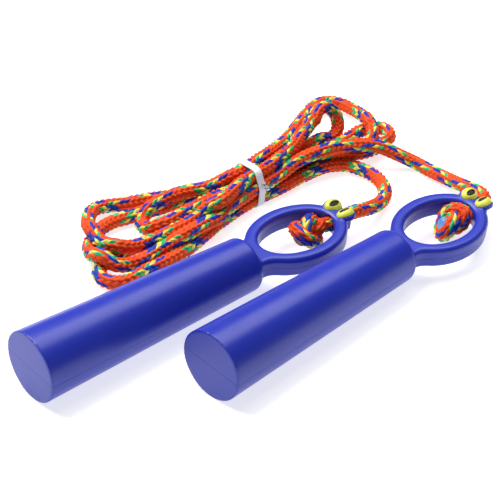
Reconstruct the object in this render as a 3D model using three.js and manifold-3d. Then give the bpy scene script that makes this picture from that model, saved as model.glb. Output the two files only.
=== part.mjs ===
// A toy jump rope: two hollow moulded handles with frog-eyed finger rings, and one braided rope.
// The rope's ends are knotted inside the rings, and its middle is folded into a hank held by a twist tie.
// Millimetres, +Z up. The handles lie side by side along +X, with their flat ends towards -X.
import * as THREE from "three";
import { mergeVertices } from "three/addons/utils/BufferGeometryUtils.js";
import Module from "manifold-3d";

const wasm = await Module();
wasm.setup();

// Barrel, measured along the handle from its flat end.
const BUTT_RADIUS = 15;
const SHOULDER_RADIUS = 11.9;
const BARREL_LENGTH = 110;
const SHOULDER_ROUND = 2.5;
const BUTT_ROUND = 0.5;
const WALL = 2;
const BARREL_SIDES = 40;
const CAVITY_SIDES = 24;
const RING_SEGMENTS = 36;

// Finger ring, an oval that lies in the parting plane.
const RING_CENTRE = 138.5;
const RING_HALF_LENGTH = 25.2;
const RING_HALF_WIDTH = 18.4;
const RING_RAIL = 5.9;
const RING_HEIGHT = 9.5;
const RING_ROUND = 2.2;
const RING_TIP = RING_CENTRE + RING_HALF_LENGTH;
const NECK_HALF_WIDTH = 9.3;
const NECK_ROUND = 1.5;

// The two half shells meet at the parting plane, on pins that enter sockets.
const PARTING_GAP = 0.3;
const PIN_PLACES = [20, 58, 96];
const PIN_RADIUS = 1.2;
const PIN_REACH = 4;
const SOCKET_RADIUS = 1.5;
const SOCKET_DEPTH = 5;
const BOSS_RADIUS = 3.2;

// Rope guide and eyes at the ring's tip.
const ROPE_DIAMETER = 6;
const HOLE_RADIUS = 3.4;
const SNOUT_START = 159;
const SNOUT_END = 167.5;
const SNOUT_HALF_WIDTH = 5.2;
const SNOUT_LOW = -4.4;
const SNOUT_HIGH = 4.2;
const EYE_ALONG = 163.7;
const EYE_ASIDE = 4;
const EYE_BASE = 4.5;
const EYE_TILT = THREE.MathUtils.degToRad(22);
const EYE_HALF_LENGTH = 4.5;
const EYE_HALF_WIDTH = 3.5;
const EYE_DOME = 2.8;
const EYE_PLUG = 1;
const EYE_PLUG_INSET = 0.7;
const EYE_CUP = 0.4;
const EYE_CUP_DEPTH = 3.4;
const EYE_GAP = 0.3;
const EYE_SIDES = 20;
const PUPIL_LENGTH = 5.4;
const PUPIL_WIDTH = 2.8;
const PUPIL_FLOOR = 1.3;
const PUPIL_TOP = 2.3;
const PUPIL_GAP = 0.15;

// Knots inside the rings, each with the sealed end of the rope showing at its back.
const KNOT_CENTRE = 147.5;
const KNOT_HALF_LENGTH = 8.3;
const KNOT_HALF_WIDTH = 8.2;
const KNOT_HALF_HEIGHT = 7;
const ROPE_END_LENGTH = 3;
const TOUCH_GAP = 0.3;

// Each handle rests on its taper, which tips its axis down towards the ring.
const TAPER_ANGLE = Math.asin((BUTT_RADIUS - SHOULDER_RADIUS) / BARREL_LENGTH);
const BUTT_HEIGHT = BUTT_RADIUS * Math.cos(TAPER_ANGLE);
const HANDLES = [
  { side: "left", x: -109.38, y: 23.3, yaw: -0.034, roll: 0.061 },
  { side: "right", x: -58.68, y: -23.3, yaw: 0.034, roll: 0.094 },
];

// The folded middle of the rope: a plan outline with round ends, pinched where the tie holds it.
const HANK_LOW = 0.1;
const HANK_HIGH = 16.6;
const HANK_ROUND = 4;
const HANK_OUTLINE = [
  [47, 59.5], [72, 54.5], [98, 54], [116, 54], [134, 55], [142, 68], [138, 86],
  [131, 99], [116, 101], [97, 93], [72, 83], [47, 77],
  [30, 80], [12, 94], [-6, 105], [-24, 98], [-31, 88], [-41, 76], [-47, 62], [-38, 53], [-6, 52], [22, 54],
];

// Twist tie: a thin ribbon closed round the waist of the hank, with its ends twisted together.
const TIE_CENTRE = [47, 68.2];
const TIE_WIDTH = 5;
const TIE_THICKNESS = 0.6;
const TIE_HALF_SPAN = 10.3;
const TIE_LOW = 0.1;
const TIE_HIGH = 18.4;
const TIE_CORNER = 7;
const TWIST_RADIUS = 1.2;
const TWIST_LENGTH = 4;
const TWIST_HEIGHT = 13;

// Routes of the rope between each ring and the hank, from outside the knot to the hank's face.
const LEAD_SIDES = 10;
const LEAD_STEP = 2.6 * ROPE_DIAMETER;
const LEADS = {
  left: [
    [65, 17.2, 9.8], [72, 16.8, 8], [80, 18.2, 5.6], [88, 21.2, 3.8], [94.5, 26, 3.1],
    [98.5, 32, 3.1], [100.3, 39, 3.1], [100.2, 45, 3.1], [99, 50.4, 3.1],
  ],
  right: [
    [113.6, -16.6, 10.2], [116.3, -13.6, 10], [117.8, -8.5, 9.2], [118.8, -2, 7.6], [120.6, 7, 5.6],
    [122.2, 16, 4], [122.8, 24, 3.3], [121.8, 33, 4.4], [119.6, 42, 6.8], [117, 50.4, 9.2],
  ],
};

const COLOURS = {
  shell: { color: 0x2b36c4, roughness: 0.35, metalness: 0 },
  eye: { color: 0xd9dc4e, roughness: 0.35, metalness: 0 },
  pupil: { color: 0x141414, roughness: 0.3, metalness: 0 },
  rope: { color: 0xe24a17, roughness: 0.8, metalness: 0 },
  rope_end: { color: 0x5f8fc8, roughness: 0.45, metalness: 0 },
  tie: { color: 0xf1f1ee, roughness: 0.5, metalness: 0 },
};

// A closed three.js geometry as a manifold solid: shared vertices merged, collapsed triangles dropped.
function solid(geometry) {
  const bare = geometry.clone();
  bare.deleteAttribute("normal");
  bare.deleteAttribute("uv");
  const merged = mergeVertices(bare, 1e-4);
  const corners = merged.index.array;
  const triangles = [];
  for (let i = 0; i < corners.length; i += 3) {
    const [a, b, c] = corners.slice(i, i + 3);
    if (a !== b && b !== c && a !== c) triangles.push(a, b, c);
  }
  return new wasm.Manifold(
    new wasm.Mesh({
      numProp: 3,
      vertProperties: new Float32Array(merged.attributes.position.array),
      triVerts: new Uint32Array(triangles),
    }),
  );
}

function geometryOf(manifold) {
  const mesh = manifold.getMesh();
  const geometry = new THREE.BufferGeometry();
  geometry.setAttribute("position", new THREE.BufferAttribute(mesh.vertProperties, 3));
  geometry.setIndex(new THREE.BufferAttribute(mesh.triVerts, 1));
  geometry.computeVertexNormals();
  return geometry;
}

function named(name, geometry, finish) {
  const mesh = new THREE.Mesh(geometry, new THREE.MeshStandardMaterial(COLOURS[finish]));
  mesh.name = name;
  return mesh;
}

function cylinder(radius, low, high, x, sides) {
  const geometry = new THREE.CylinderGeometry(radius, radius, high - low, sides);
  geometry.rotateX(Math.PI / 2);
  geometry.translate(x, 0, (low + high) / 2);
  return solid(geometry);
}

function block(xLow, xHigh, yHalf, zLow, zHigh) {
  const geometry = new THREE.BoxGeometry(xHigh - xLow, 2 * yHalf, zHigh - zLow);
  geometry.translate((xLow + xHigh) / 2, 0, (zLow + zHigh) / 2);
  return solid(geometry);
}

// A flat outline given height about z = 0, with its top and bottom edges rounded by the bevel.
function slab(shape, height, round, curveSegments) {
  const geometry = new THREE.ExtrudeGeometry(shape, {
    depth: height - 2 * round,
    bevelThickness: round,
    bevelSize: round,
    bevelOffset: 0,
    bevelSegments: 2,
    bevelEnabled: true,
    curveSegments,
  });
  geometry.translate(0, 0, round - height / 2);
  return geometry;
}

// The tapered barrel as a turned solid along +X. An inset moves every wall of it inwards.
function barrel(inset, sides) {
  const taper = (BUTT_RADIUS - SHOULDER_RADIUS) / BARREL_LENGTH;
  const radiusAt = (x) => BUTT_RADIUS - taper * x - inset;
  const start = inset;
  const end = BARREL_LENGTH - inset;
  const round = SHOULDER_ROUND;
  const profile = [new THREE.Vector2(0, start), new THREE.Vector2(radiusAt(start) - BUTT_ROUND, start)];
  profile.push(new THREE.Vector2(radiusAt(start + BUTT_ROUND), start + BUTT_ROUND));
  for (const angle of [0, 30, 60, 90].map(THREE.MathUtils.degToRad)) {
    const x = end - round + round * Math.sin(angle);
    const radius = radiusAt(end - round) - round + round * Math.cos(angle);
    profile.push(new THREE.Vector2(radius, x));
  }
  profile.push(new THREE.Vector2(0, end));
  const geometry = new THREE.LatheGeometry(profile, sides);
  geometry.rotateZ(-Math.PI / 2);
  return solid(geometry);
}

function fingerRing() {
  const shape = new THREE.Shape();
  shape.absellipse(RING_CENTRE, 0, RING_HALF_LENGTH - RING_ROUND, RING_HALF_WIDTH - RING_ROUND, 0, 2 * Math.PI);
  const gap = new THREE.Path();
  const inset = RING_RAIL - RING_ROUND;
  gap.absellipse(RING_CENTRE, 0, RING_HALF_LENGTH - inset, RING_HALF_WIDTH - inset, 0, 2 * Math.PI);
  shape.holes.push(gap);
  return solid(slab(shape, RING_HEIGHT, RING_ROUND, RING_SEGMENTS));
}

// The flared neck between the barrel's shoulder and the ring's rail.
function neck() {
  const flareEnd = new THREE.Vector2(120.5, 11.3);
  const inner = new THREE.Vector2(117.8, 4.5);
  const start = BARREL_LENGTH - SHOULDER_ROUND - WALL / 2;
  const side = NECK_HALF_WIDTH - NECK_ROUND;
  const shape = new THREE.Shape();
  shape.moveTo(start, -side);
  shape.quadraticCurveTo(BARREL_LENGTH + 4, -side, flareEnd.x, -flareEnd.y);
  shape.lineTo(inner.x - NECK_ROUND, -inner.y);
  shape.lineTo(inner.x - NECK_ROUND, inner.y);
  shape.lineTo(flareEnd.x, flareEnd.y);
  shape.quadraticCurveTo(BARREL_LENGTH + 4, side, start, side);
  shape.closePath();
  return solid(slab(shape, RING_HEIGHT, NECK_ROUND, 4));
}

// The block at the ring's tip that the rope passes through.
function snout() {
  const corner = 1.6;
  const shape = new THREE.Shape();
  const [y, low, high] = [SNOUT_HALF_WIDTH, SNOUT_LOW, SNOUT_HIGH];
  shape.moveTo(-y + corner, low);
  shape.lineTo(y - corner, low);
  shape.quadraticCurveTo(y, low, y, low + corner);
  shape.lineTo(y, high - corner);
  shape.quadraticCurveTo(y, high, y - corner, high);
  shape.lineTo(-y + corner, high);
  shape.quadraticCurveTo(-y, high, -y, high - corner);
  shape.lineTo(-y, low + corner);
  shape.quadraticCurveTo(-y, low, -y + corner, low);
  const geometry = new THREE.ExtrudeGeometry(shape, {
    depth: SNOUT_END - SNOUT_START,
    bevelEnabled: false,
    curveSegments: 4,
  });
  geometry.applyMatrix4(new THREE.Matrix4().makeBasis(
    new THREE.Vector3(0, 1, 0), new THREE.Vector3(0, 0, 1), new THREE.Vector3(1, 0, 0)));
  geometry.translate(SNOUT_START, 0, 0);
  return solid(geometry);
}

// Moves a shape made about an eye's own base centre, +Z along its axis, to one side of the ring's tip.
function atEye(geometry, side) {
  geometry.rotateX(side * EYE_TILT);
  geometry.translate(EYE_ALONG, side * EYE_ASIDE, EYE_BASE);
  return geometry;
}

function ovalDisc(halfLength, halfWidth, low, high) {
  const geometry = new THREE.CylinderGeometry(1, 1, high - low, EYE_SIDES);
  geometry.rotateX(Math.PI / 2);
  geometry.scale(halfLength, halfWidth, 1);
  geometry.translate(0, 0, (low + high) / 2);
  return geometry;
}

function eyeCup(side) {
  const [length, width] = [EYE_HALF_LENGTH + EYE_CUP, EYE_HALF_WIDTH + EYE_CUP];
  return solid(atEye(ovalDisc(length, width, -EYE_CUP_DEPTH, -EYE_GAP), side));
}

// The room that an eye needs: a pocket for its plug, and the space above its base.
function eyeRoom(side) {
  const inset = EYE_PLUG_INSET - EYE_GAP;
  const plug = ovalDisc(EYE_HALF_LENGTH - inset, EYE_HALF_WIDTH - inset, -EYE_PLUG - EYE_GAP, 1);
  const above = ovalDisc(EYE_HALF_LENGTH + EYE_GAP, EYE_HALF_WIDTH + EYE_GAP, -EYE_GAP, 6);
  return solid(atEye(plug, side)).add(solid(atEye(above, side)));
}

function pupilOutline(gap) {
  const radius = PUPIL_WIDTH / 2 + gap;
  const reach = (PUPIL_LENGTH - PUPIL_WIDTH) / 2;
  const shape = new THREE.Shape();
  shape.moveTo(-reach, -radius);
  shape.lineTo(reach, -radius);
  shape.absarc(reach, 0, radius, -Math.PI / 2, Math.PI / 2);
  shape.lineTo(-reach, radius);
  shape.absarc(-reach, 0, radius, Math.PI / 2, 1.5 * Math.PI);
  return shape;
}

function pupilSlab(gap, low, high) {
  const geometry = new THREE.ExtrudeGeometry(pupilOutline(gap), {
    depth: high - low,
    bevelEnabled: false,
    curveSegments: 6,
  });
  geometry.translate(0, 0, low);
  return geometry;
}

// A domed eye with a plug below it and a slot in its top.
function eye(side) {
  const whole = new THREE.SphereGeometry(1, EYE_SIDES, 10);
  whole.rotateX(Math.PI / 2);
  whole.scale(EYE_HALF_LENGTH, EYE_HALF_WIDTH, EYE_DOME);
  const above = new THREE.BoxGeometry(20, 20, 10);
  above.translate(0, 0, 5);
  const inset = EYE_PLUG_INSET;
  const plug = ovalDisc(EYE_HALF_LENGTH - inset, EYE_HALF_WIDTH - inset, -EYE_PLUG, 0.5);
  const slot = pupilSlab(PUPIL_GAP, PUPIL_FLOOR, 5);
  const made = solid(whole).intersect(solid(above)).add(solid(plug)).subtract(solid(slot));
  return atEye(geometryOf(made), side);
}

function pupil(side) {
  return atEye(pupilSlab(0, PUPIL_FLOOR + PUPIL_GAP, PUPIL_TOP), side);
}

// The handle's two half shells, from one hollow body cut at the parting plane.
function shells() {
  const bosses = PIN_PLACES.map((x) => cylinder(BOSS_RADIUS, -BUTT_RADIUS, BUTT_RADIUS, x, 14));
  let body = barrel(0, BARREL_SIDES).subtract(barrel(WALL, CAVITY_SIDES));
  for (const boss of bosses) body = body.add(boss.intersect(barrel(WALL / 2, CAVITY_SIDES)));
  body = body.add(neck()).add(fingerRing()).add(snout());
  for (const side of [1, -1]) body = body.add(eyeCup(side));
  for (const side of [1, -1]) body = body.subtract(eyeRoom(side));
  const hole = new THREE.CylinderGeometry(HOLE_RADIUS, HOLE_RADIUS, 14, 20);
  hole.rotateZ(Math.PI / 2);
  hole.translate(SNOUT_END - 5, 0, 0);
  body = body.subtract(solid(hole));
  const reach = RING_TIP + 20;
  const half = PARTING_GAP / 2;
  let upper = body.intersect(block(-1, reach, 30, half, 30));
  let lower = body.intersect(block(-1, reach, 30, -30, -half));
  for (const x of PIN_PLACES) {
    upper = upper.add(cylinder(PIN_RADIUS, -PIN_REACH, 2, x, 12));
    lower = lower.subtract(cylinder(SOCKET_RADIUS, -SOCKET_DEPTH, 2, x, 12));
  }
  return { upper: geometryOf(upper), lower: geometryOf(lower) };
}

function handle({ side, x, y, yaw, roll }, halves) {
  const group = new THREE.Group();
  group.position.set(x, y, BUTT_HEIGHT);
  group.rotation.set(roll, TAPER_ANGLE, yaw, "ZYX");
  group.add(named(`${side}_upper_shell`, halves.upper, "shell"));
  group.add(named(`${side}_lower_shell`, halves.lower, "shell"));
  for (const [place, sign] of [["far", 1], ["near", -1]]) {
    group.add(named(`${side}_${place}_eye`, eye(sign), "eye"));
    group.add(named(`${side}_${place}_pupil`, pupil(sign), "pupil"));
  }
  group.updateMatrixWorld(true);
  return group;
}

// The stopper knot and the sealed rope end, in the frame of the ring that they sit in.
function knot({ side, x, y, yaw }) {
  const group = new THREE.Group();
  group.position.set(x, y, BUTT_HEIGHT);
  group.rotation.set(0, TAPER_ANGLE, yaw, "ZYX");
  const ball = new THREE.SphereGeometry(1, 18, 12);
  ball.scale(KNOT_HALF_LENGTH, KNOT_HALF_WIDTH, KNOT_HALF_HEIGHT);
  ball.translate(KNOT_CENTRE, 0, 0);
  group.add(named(`${side}_knot`, ball, "rope"));
  const radius = ROPE_DIAMETER / 2;
  const end = new THREE.CylinderGeometry(radius, radius, ROPE_END_LENGTH, 16);
  end.rotateZ(Math.PI / 2);
  end.translate(KNOT_CENTRE - KNOT_HALF_LENGTH - TOUCH_GAP - ROPE_END_LENGTH / 2, 0, 0);
  group.add(named(`${side}_rope_end`, end, "rope_end"));
  return group;
}

// The rope from its knot, straight out through the ring's tip, and along its route to the hank.
function lead(placed, side) {
  const onAxis = (s) => new THREE.Vector3(s, 0, 0).applyMatrix4(placed.matrixWorld);
  const start = KNOT_CENTRE + KNOT_HALF_LENGTH + TOUCH_GAP;
  const points = [onAxis(start), onAxis(SNOUT_END - 3), onAxis(SNOUT_END + 1)];
  for (const [x, y, z] of LEADS[side]) points.push(new THREE.Vector3(x, y, z));
  const path = new THREE.CatmullRomCurve3(points, false, "centripetal");
  const section = new THREE.Shape();
  for (let i = 0; i < LEAD_SIDES; i++) {
    const angle = (2 * Math.PI * i) / LEAD_SIDES;
    const [x, y] = [Math.cos(angle) * ROPE_DIAMETER / 2, Math.sin(angle) * ROPE_DIAMETER / 2];
    if (i === 0) section.moveTo(x, y);
    else section.lineTo(x, y);
  }
  section.closePath();
  const steps = Math.max(12, Math.round((path.getLength() / LEAD_STEP) * 2.2));
  const tube = new THREE.ExtrudeGeometry(section, { steps, extrudePath: path, bevelEnabled: false });
  return named(`rope_lead_${side}`, tube, "rope");
}

// A rounded rectangle across the hank, in the Y-Z plane, grown outwards by the offset.
function tieOutline(offset) {
  const [low, high] = [TIE_LOW + TIE_THICKNESS - offset, TIE_HIGH - TIE_THICKNESS + offset];
  const half = TIE_HALF_SPAN - TIE_THICKNESS + offset;
  const round = TIE_CORNER - TIE_THICKNESS + offset;
  const outline = new THREE.Path();
  outline.moveTo(-half + round, low);
  outline.lineTo(half - round, low);
  outline.absarc(half - round, low + round, round, -Math.PI / 2, 0);
  outline.lineTo(half, high - round);
  outline.absarc(half - round, high - round, round, 0, Math.PI / 2);
  outline.lineTo(-half + round, high);
  outline.absarc(-half + round, high - round, round, Math.PI / 2, Math.PI);
  outline.lineTo(-half, low + round);
  outline.absarc(-half + round, low + round, round, Math.PI, 1.5 * Math.PI);
  return outline;
}

function tieLoop(inner, outer, width) {
  const shape = new THREE.Shape(tieOutline(outer).getPoints(6));
  if (inner !== null) shape.holes.push(new THREE.Path(tieOutline(inner).getPoints(6)));
  const loop = new THREE.ExtrudeGeometry(shape, { depth: width, bevelEnabled: false });
  loop.applyMatrix4(new THREE.Matrix4().makeBasis(
    new THREE.Vector3(0, 1, 0), new THREE.Vector3(0, 0, 1), new THREE.Vector3(1, 0, 0)));
  loop.translate(TIE_CENTRE[0] - width / 2, TIE_CENTRE[1], 0);
  return solid(loop);
}

function twistTie() {
  const twist = new THREE.CylinderGeometry(TWIST_RADIUS, TWIST_RADIUS, TWIST_LENGTH, 10);
  twist.translate(TIE_CENTRE[0], TIE_CENTRE[1] - TIE_HALF_SPAN - TWIST_LENGTH / 2 + 1, TWIST_HEIGHT);
  const made = tieLoop(0, TIE_THICKNESS, TIE_WIDTH).add(solid(twist));
  return named("twist_tie", geometryOf(made), "tie");
}

// The folded rope between the leads, with a groove round its waist for the tie.
function hank() {
  const points = HANK_OUTLINE.map(([x, y]) => new THREE.Vector3(x, y, 0));
  const outline = new THREE.CatmullRomCurve3(points, true, "centripetal").getPoints(56).slice(0, -1);
  const flat = outline.map((p) => new THREE.Vector2(p.x, p.y));
  const body = new THREE.ExtrudeGeometry(new THREE.Shape(flat), {
    depth: HANK_HIGH - HANK_LOW - 2 * HANK_ROUND,
    bevelThickness: HANK_ROUND,
    bevelSize: HANK_ROUND,
    bevelOffset: -HANK_ROUND,
    bevelSegments: 2,
  });
  body.translate(0, 0, HANK_LOW + HANK_ROUND);
  const groove = tieLoop(-TOUCH_GAP, 12, TIE_WIDTH + 2 * TOUCH_GAP);
  return named("rope_hank", geometryOf(solid(body).subtract(groove)), "rope");
}

const jumpRope = new THREE.Group();
const halves = shells();
for (const place of HANDLES) {
  const placed = handle(place, halves);
  jumpRope.add(placed, knot(place), lead(placed, place.side));
}
jumpRope.add(hank(), twistTie());

export default jumpRope;
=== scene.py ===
"""A toy jump rope: two blue handles with frog-eyed finger rings, and a braided rope folded in a hank.

Lengths are in millimetres in the tables below, and MM turns them into the frame's metres.
"""

import math

import bpy
import numpy as np
from mathutils import Matrix, Vector


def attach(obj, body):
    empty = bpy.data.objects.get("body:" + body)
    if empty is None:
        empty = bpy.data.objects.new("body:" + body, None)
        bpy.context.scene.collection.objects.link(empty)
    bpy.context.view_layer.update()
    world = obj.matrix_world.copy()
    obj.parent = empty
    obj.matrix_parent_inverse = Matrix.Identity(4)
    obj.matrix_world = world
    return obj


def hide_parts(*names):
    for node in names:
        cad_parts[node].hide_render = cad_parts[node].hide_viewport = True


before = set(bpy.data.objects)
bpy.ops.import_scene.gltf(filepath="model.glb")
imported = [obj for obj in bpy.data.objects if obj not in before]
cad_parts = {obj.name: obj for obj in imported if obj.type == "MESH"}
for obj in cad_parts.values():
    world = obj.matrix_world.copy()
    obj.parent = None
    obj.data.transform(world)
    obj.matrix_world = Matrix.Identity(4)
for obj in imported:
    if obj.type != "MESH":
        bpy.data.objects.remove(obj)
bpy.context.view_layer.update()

MM = 0.001

# ---------------------------------------------------------------- driving dimensions

# As in the CAD, but for the finer parting gap, the slimmer neck and the roomier hole for the braid.

BUTT_RADIUS = 15.0
SHOULDER_RADIUS = 11.9
BARREL_LENGTH = 110.0
SHOULDER_ROUND = 2.5
BUTT_ROUND = 0.5
RING_CENTRE = 138.5
RING_HALF_LENGTH = 25.2
RING_HALF_WIDTH = 18.4
RING_RAIL = 5.9
RING_HEIGHT = 9.5
RING_ROUND = 2.1
NECK_HALF_WIDTH = 8.8
NECK_CENTRE = 110.5
NECK_HALF_LENGTH = 8.5
NECK_FILLET = 3.0
RING_FILLET = 2.2
SNOUT = ((159.0, -5.2, -4.4), (167.5, 5.2, 4.2))
SNOUT_ROUND = 1.3
SNOUT_FILLET = 1.4
EYE_ALONG = 163.7
EYE_ASIDE = 4.0
EYE_BASE = 4.5
EYE_TILT = math.radians(22)
EYE_HALVES = (4.5, 3.5)
EYE_DOME = 2.8
PUPIL_HALVES = (2.55, 1.15)
PUPIL_FLOOR = 1.3
HOLE_RADIUS = 3.65
HOLE_STARTS = 150.0
HOLE_ROUND = 0.5
PARTING_GAP = 0.1
TAPER_ANGLE = math.asin((BUTT_RADIUS - SHOULDER_RADIUS) / BARREL_LENGTH)
BUTT_HEIGHT = BUTT_RADIUS * math.cos(TAPER_ANGLE)
HANDLES = {
    "left": {"x": -109.38, "y": 23.3, "yaw": -0.034, "roll": 0.061},
    "right": {"x": -58.68, "y": -23.3, "yaw": 0.034, "roll": 0.094},
}

ROPE_DIAMETER = 6.0
ROPE_RADIUS = ROPE_DIAMETER / 2
FLOOR_GAP = 0.42
TIE_PLACE = 47.0
TIE_WIDTH = 3.8

# ---------------------------------------------------------------- camera

CAMERA_PLACE = Vector((-0.351665, -0.35645, 0.38208))
CAMERA_VIEW = Vector((0.56022, 0.59476, -0.57655))
CAMERA_LENS = 108.35


def make_camera():
    data = bpy.data.cameras.new("camera")
    data.lens = CAMERA_LENS
    data.sensor_width = 36.0
    data.clip_start = 0.01
    camera = bpy.data.objects.new("camera", data)
    bpy.context.scene.collection.objects.link(camera)
    camera.location = CAMERA_PLACE
    camera.rotation_euler = CAMERA_VIEW.to_track_quat("-Z", "Y").to_euler()
    bpy.context.scene.camera = camera


# ---------------------------------------------------------------- the rope's route

# How firmly the rope is held to its guide: FREE where it lies hidden in the hank, SEEN where its
# place is known but its height isn't, TIED in the twist tie, and HELD on the leads. The holds are
# shares of the way back to the guide, across and along the line of sight, and FALL is millimetres.
FREE, SEEN, TIED, HELD = 0, 1, 2, 3
HOLD_ACROSS = (0.02, 0.3, 0.5, 0.95)
HOLD_ALONG = (0.02, 0.004, 0.5, 0.95)
FALL = (0.05, 0.05, 0.0, 0.0)

LEAD_LEFT = [
    (65, 17.2, 9.8), (72, 16.8, 8), (80, 18.2, 5.6), (88, 21.2, 3.8), (94.5, 26, 3.1),
    (98.5, 32, 3.1), (100.3, 39, 3.1), (100.2, 45, 3.1), (99, 50.4, 3.1),
]
LEAD_RIGHT = [
    (113.6, -16.6, 10.2), (116.3, -13.6, 10), (117.8, -8.5, 9.2), (118.8, -2, 7.6), (120.6, 7, 5.6),
    (122.2, 16, 4), (122.8, 24, 3.3), (121.8, 33, 4.4),
]
# The hank's strands, in the order that the rope runs through them.
HANK = [
    (SEEN, [(96, 58, 3.1), (90, 60.5, 3.1), (82, 61.5, 3.1), (74.5, 62, 3.1), (58, 61.5, 3.1)]),
    (TIED, [(47, 62.2, 3.05)]),
    (SEEN, [(38, 62, 3.1), (27, 60.5, 3.1), (15, 58, 3.1), (4, 55.5, 3.1), (-6, 54, 3.1),
            (-14.5, 53, 3.1), (-22, 53, 3.1), (-30, 53.5, 3.1), (-38, 54, 3.1), (-43.5, 56, 3.1),
            (-45.5, 60.5, 3.1)]),
    (FREE, [(-43, 66, 3.1), (-36, 70.5, 3.1), (-24, 72, 3.1), (-5, 70.5, 3.1), (20, 69, 3.1)]),
    (TIED, [(47, 68.2, 3.05)]),
    (FREE, [(70, 68, 3.2), (86, 66.5, 3.6), (100, 62, 3.4)]),
    (SEEN, [(114, 56.5, 4), (118.5, 57.5, 6), (123.5, 61, 8), (128.5, 68, 8), (134.5, 79.5, 6),
            (136.5, 90.5, 4.5), (136, 99, 4), (129.5, 101.5, 5), (120.5, 99, 7), (108.5, 93, 9),
            (94.5, 85.5, 11), (80, 78, 13), (70, 75, 14), (61.5, 73, 15)]),
    (TIED, [(47, 71.2, 14.25)]),
    (SEEN, [(35.5, 71, 14), (28.5, 72, 13.5), (23, 74.5, 13), (19, 78, 12.5), (14, 80.5, 12),
            (8.5, 82, 11), (4.5, 84, 9), (0, 84, 7), (-5, 81, 6), (-9.5, 76, 6), (-8.5, 71.5, 7),
            (-2, 71, 8), (4.5, 70, 8), (11.5, 70, 8)]),
    (FREE, [(25, 70, 9)]),
    (TIED, [(47, 68.2, 9.05)]),
    (FREE, [(65, 67, 8.8), (85, 65, 7), (105, 58, 4)]),
    (SEEN, [(116.5, 55.5, 3.1), (125.5, 56, 3.1), (132, 58, 3.1), (136, 62, 3.1), (136, 67, 3.1),
            (133, 70, 3.1), (128.5, 71, 3.1), (122, 71.5, 3.1), (114, 70.5, 3.1)]),
    (FREE, [(95, 72, 3.1), (70, 74, 3.1)]),
    (TIED, [(47, 74.2, 3.05)]),
    (FREE, [(38, 79, 3.1), (25, 87, 3.1)]),
    (SEEN, [(12.5, 93.5, 4), (8.5, 96.5, 3.1), (3, 98.5, 3.1), (-2.5, 101, 3.5), (-7, 103.5, 4),
            (-12.5, 104.5, 5), (-19, 101.5, 6.5), (-25.5, 94.5, 8), (-30.5, 86, 9.5),
            (-32.5, 78.5, 10), (-32.5, 71.5, 10.5), (-31, 66.5, 11), (-27, 63, 11),
            (-22, 60.5, 11.5), (-15.5, 59, 12), (-8, 59, 12), (-2, 58, 12.5), (4.5, 58, 13),
            (11.5, 58, 13), (18.5, 58, 13.5), (26.5, 59.5, 14), (35, 62.5, 14.5)]),
    (TIED, [(47, 65.2, 14.25)]),
    (SEEN, [(59, 65, 14.5), (67.5, 67, 15), (76, 69, 15), (85, 73.5, 15), (94, 77.5, 14.5),
            (102, 81.5, 14), (110.5, 84, 13), (118.5, 85.5, 11.5), (120.5, 83, 10), (119, 80, 8),
            (115, 77.7, 6.8), (108.5, 76.7, 6.5), (100.5, 76.3, 6)]),
    (FREE, [(80, 74.5, 7.5), (65, 73.5, 8.8)]),
    (TIED, [(47, 74.2, 9.05)]),
    (FREE, [(30, 79, 8), (17, 84, 5)]),
    (SEEN, [(6.5, 86.5, 3.1), (-0.5, 87.5, 3.1), (-5.5, 90, 3.1), (-10, 93, 3.1), (-15.5, 93.5, 3.1),
            (-22, 92.5, 3.1), (-28, 89.5, 3.1), (-33.5, 84.5, 3.5), (-37.5, 78, 4.5),
            (-38.5, 71, 5.5), (-38, 65, 6.5), (-35.5, 60, 7), (-31, 56.5, 7.5), (-25.5, 55.5, 8),
            (-18, 55.5, 8), (-11.5, 55.5, 8.5), (-4, 55.5, 8.5), (3.5, 56, 9), (14, 57.5, 9),
            (24.5, 59.5, 9), (34.5, 61, 9)]),
    (TIED, [(47, 62.2, 9.05)]),
    (SEEN, [(57.5, 61.5, 10), (65.5, 63, 11), (74, 63.5, 11.5), (80.5, 62.5, 12), (87, 61.5, 12),
            (93.5, 60, 12), (98.5, 56.5, 12.5), (103.5, 52.5, 13), (108.5, 49.5, 12.5),
            (113.5, 46.5, 10.5), (118, 39.5, 6.8)]),
]
ROPE_STARTS = 154.5
ON_AXIS = (ROPE_STARTS, 158.0, 162.0, 168.5)
NODE_STEP = 3.0
TIGHTEST = 8.6
RELAX_ROUNDS = 500
RELAX_PASSES = 8
STIFFENING = 3
STIFF_NEAR = 0.25
STIFF_FAR = 0.1
OPENING = 0.35
PUSHING = 0.3


def handle_matrix(side):
    place = HANDLES[side]
    return (
        Matrix.Translation((place["x"], place["y"], BUTT_HEIGHT))
        @ Matrix.Rotation(place["yaw"], 4, "Z")
        @ Matrix.Rotation(TAPER_ANGLE, 4, "Y")
        @ Matrix.Rotation(place["roll"], 4, "X")
    )


def smooth_curve(points, step):
    """A centripetal Catmull-Rom curve through the points, with steps of about the given length."""
    p = np.asarray(points, float)
    p = np.vstack([2 * p[0] - p[1], p, 2 * p[-1] - p[-2]])
    made = []
    for i in range(1, len(p) - 2):
        quad = p[i - 1 : i + 3]
        t = np.concatenate([[0], np.cumsum(np.linalg.norm(np.diff(quad, axis=0), axis=1) ** 0.5)])
        count = max(2, int(np.linalg.norm(quad[2] - quad[1]) / step) + 1)
        s = np.linspace(t[1], t[2], count, endpoint=False)[:, None]
        a = [((t[k + 1] - s) * quad[k] + (s - t[k]) * quad[k + 1]) / (t[k + 1] - t[k]) for k in range(3)]
        b = [((t[k + 2] - s) * a[k] + (s - t[k]) * a[k + 1]) / (t[k + 2] - t[k]) for k in range(2)]
        made.append(((t[2] - s) * b[0] + (s - t[1]) * b[1]) / (t[2] - t[1]))
    made.append(p[-2:-1])
    return np.vstack(made)


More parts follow.
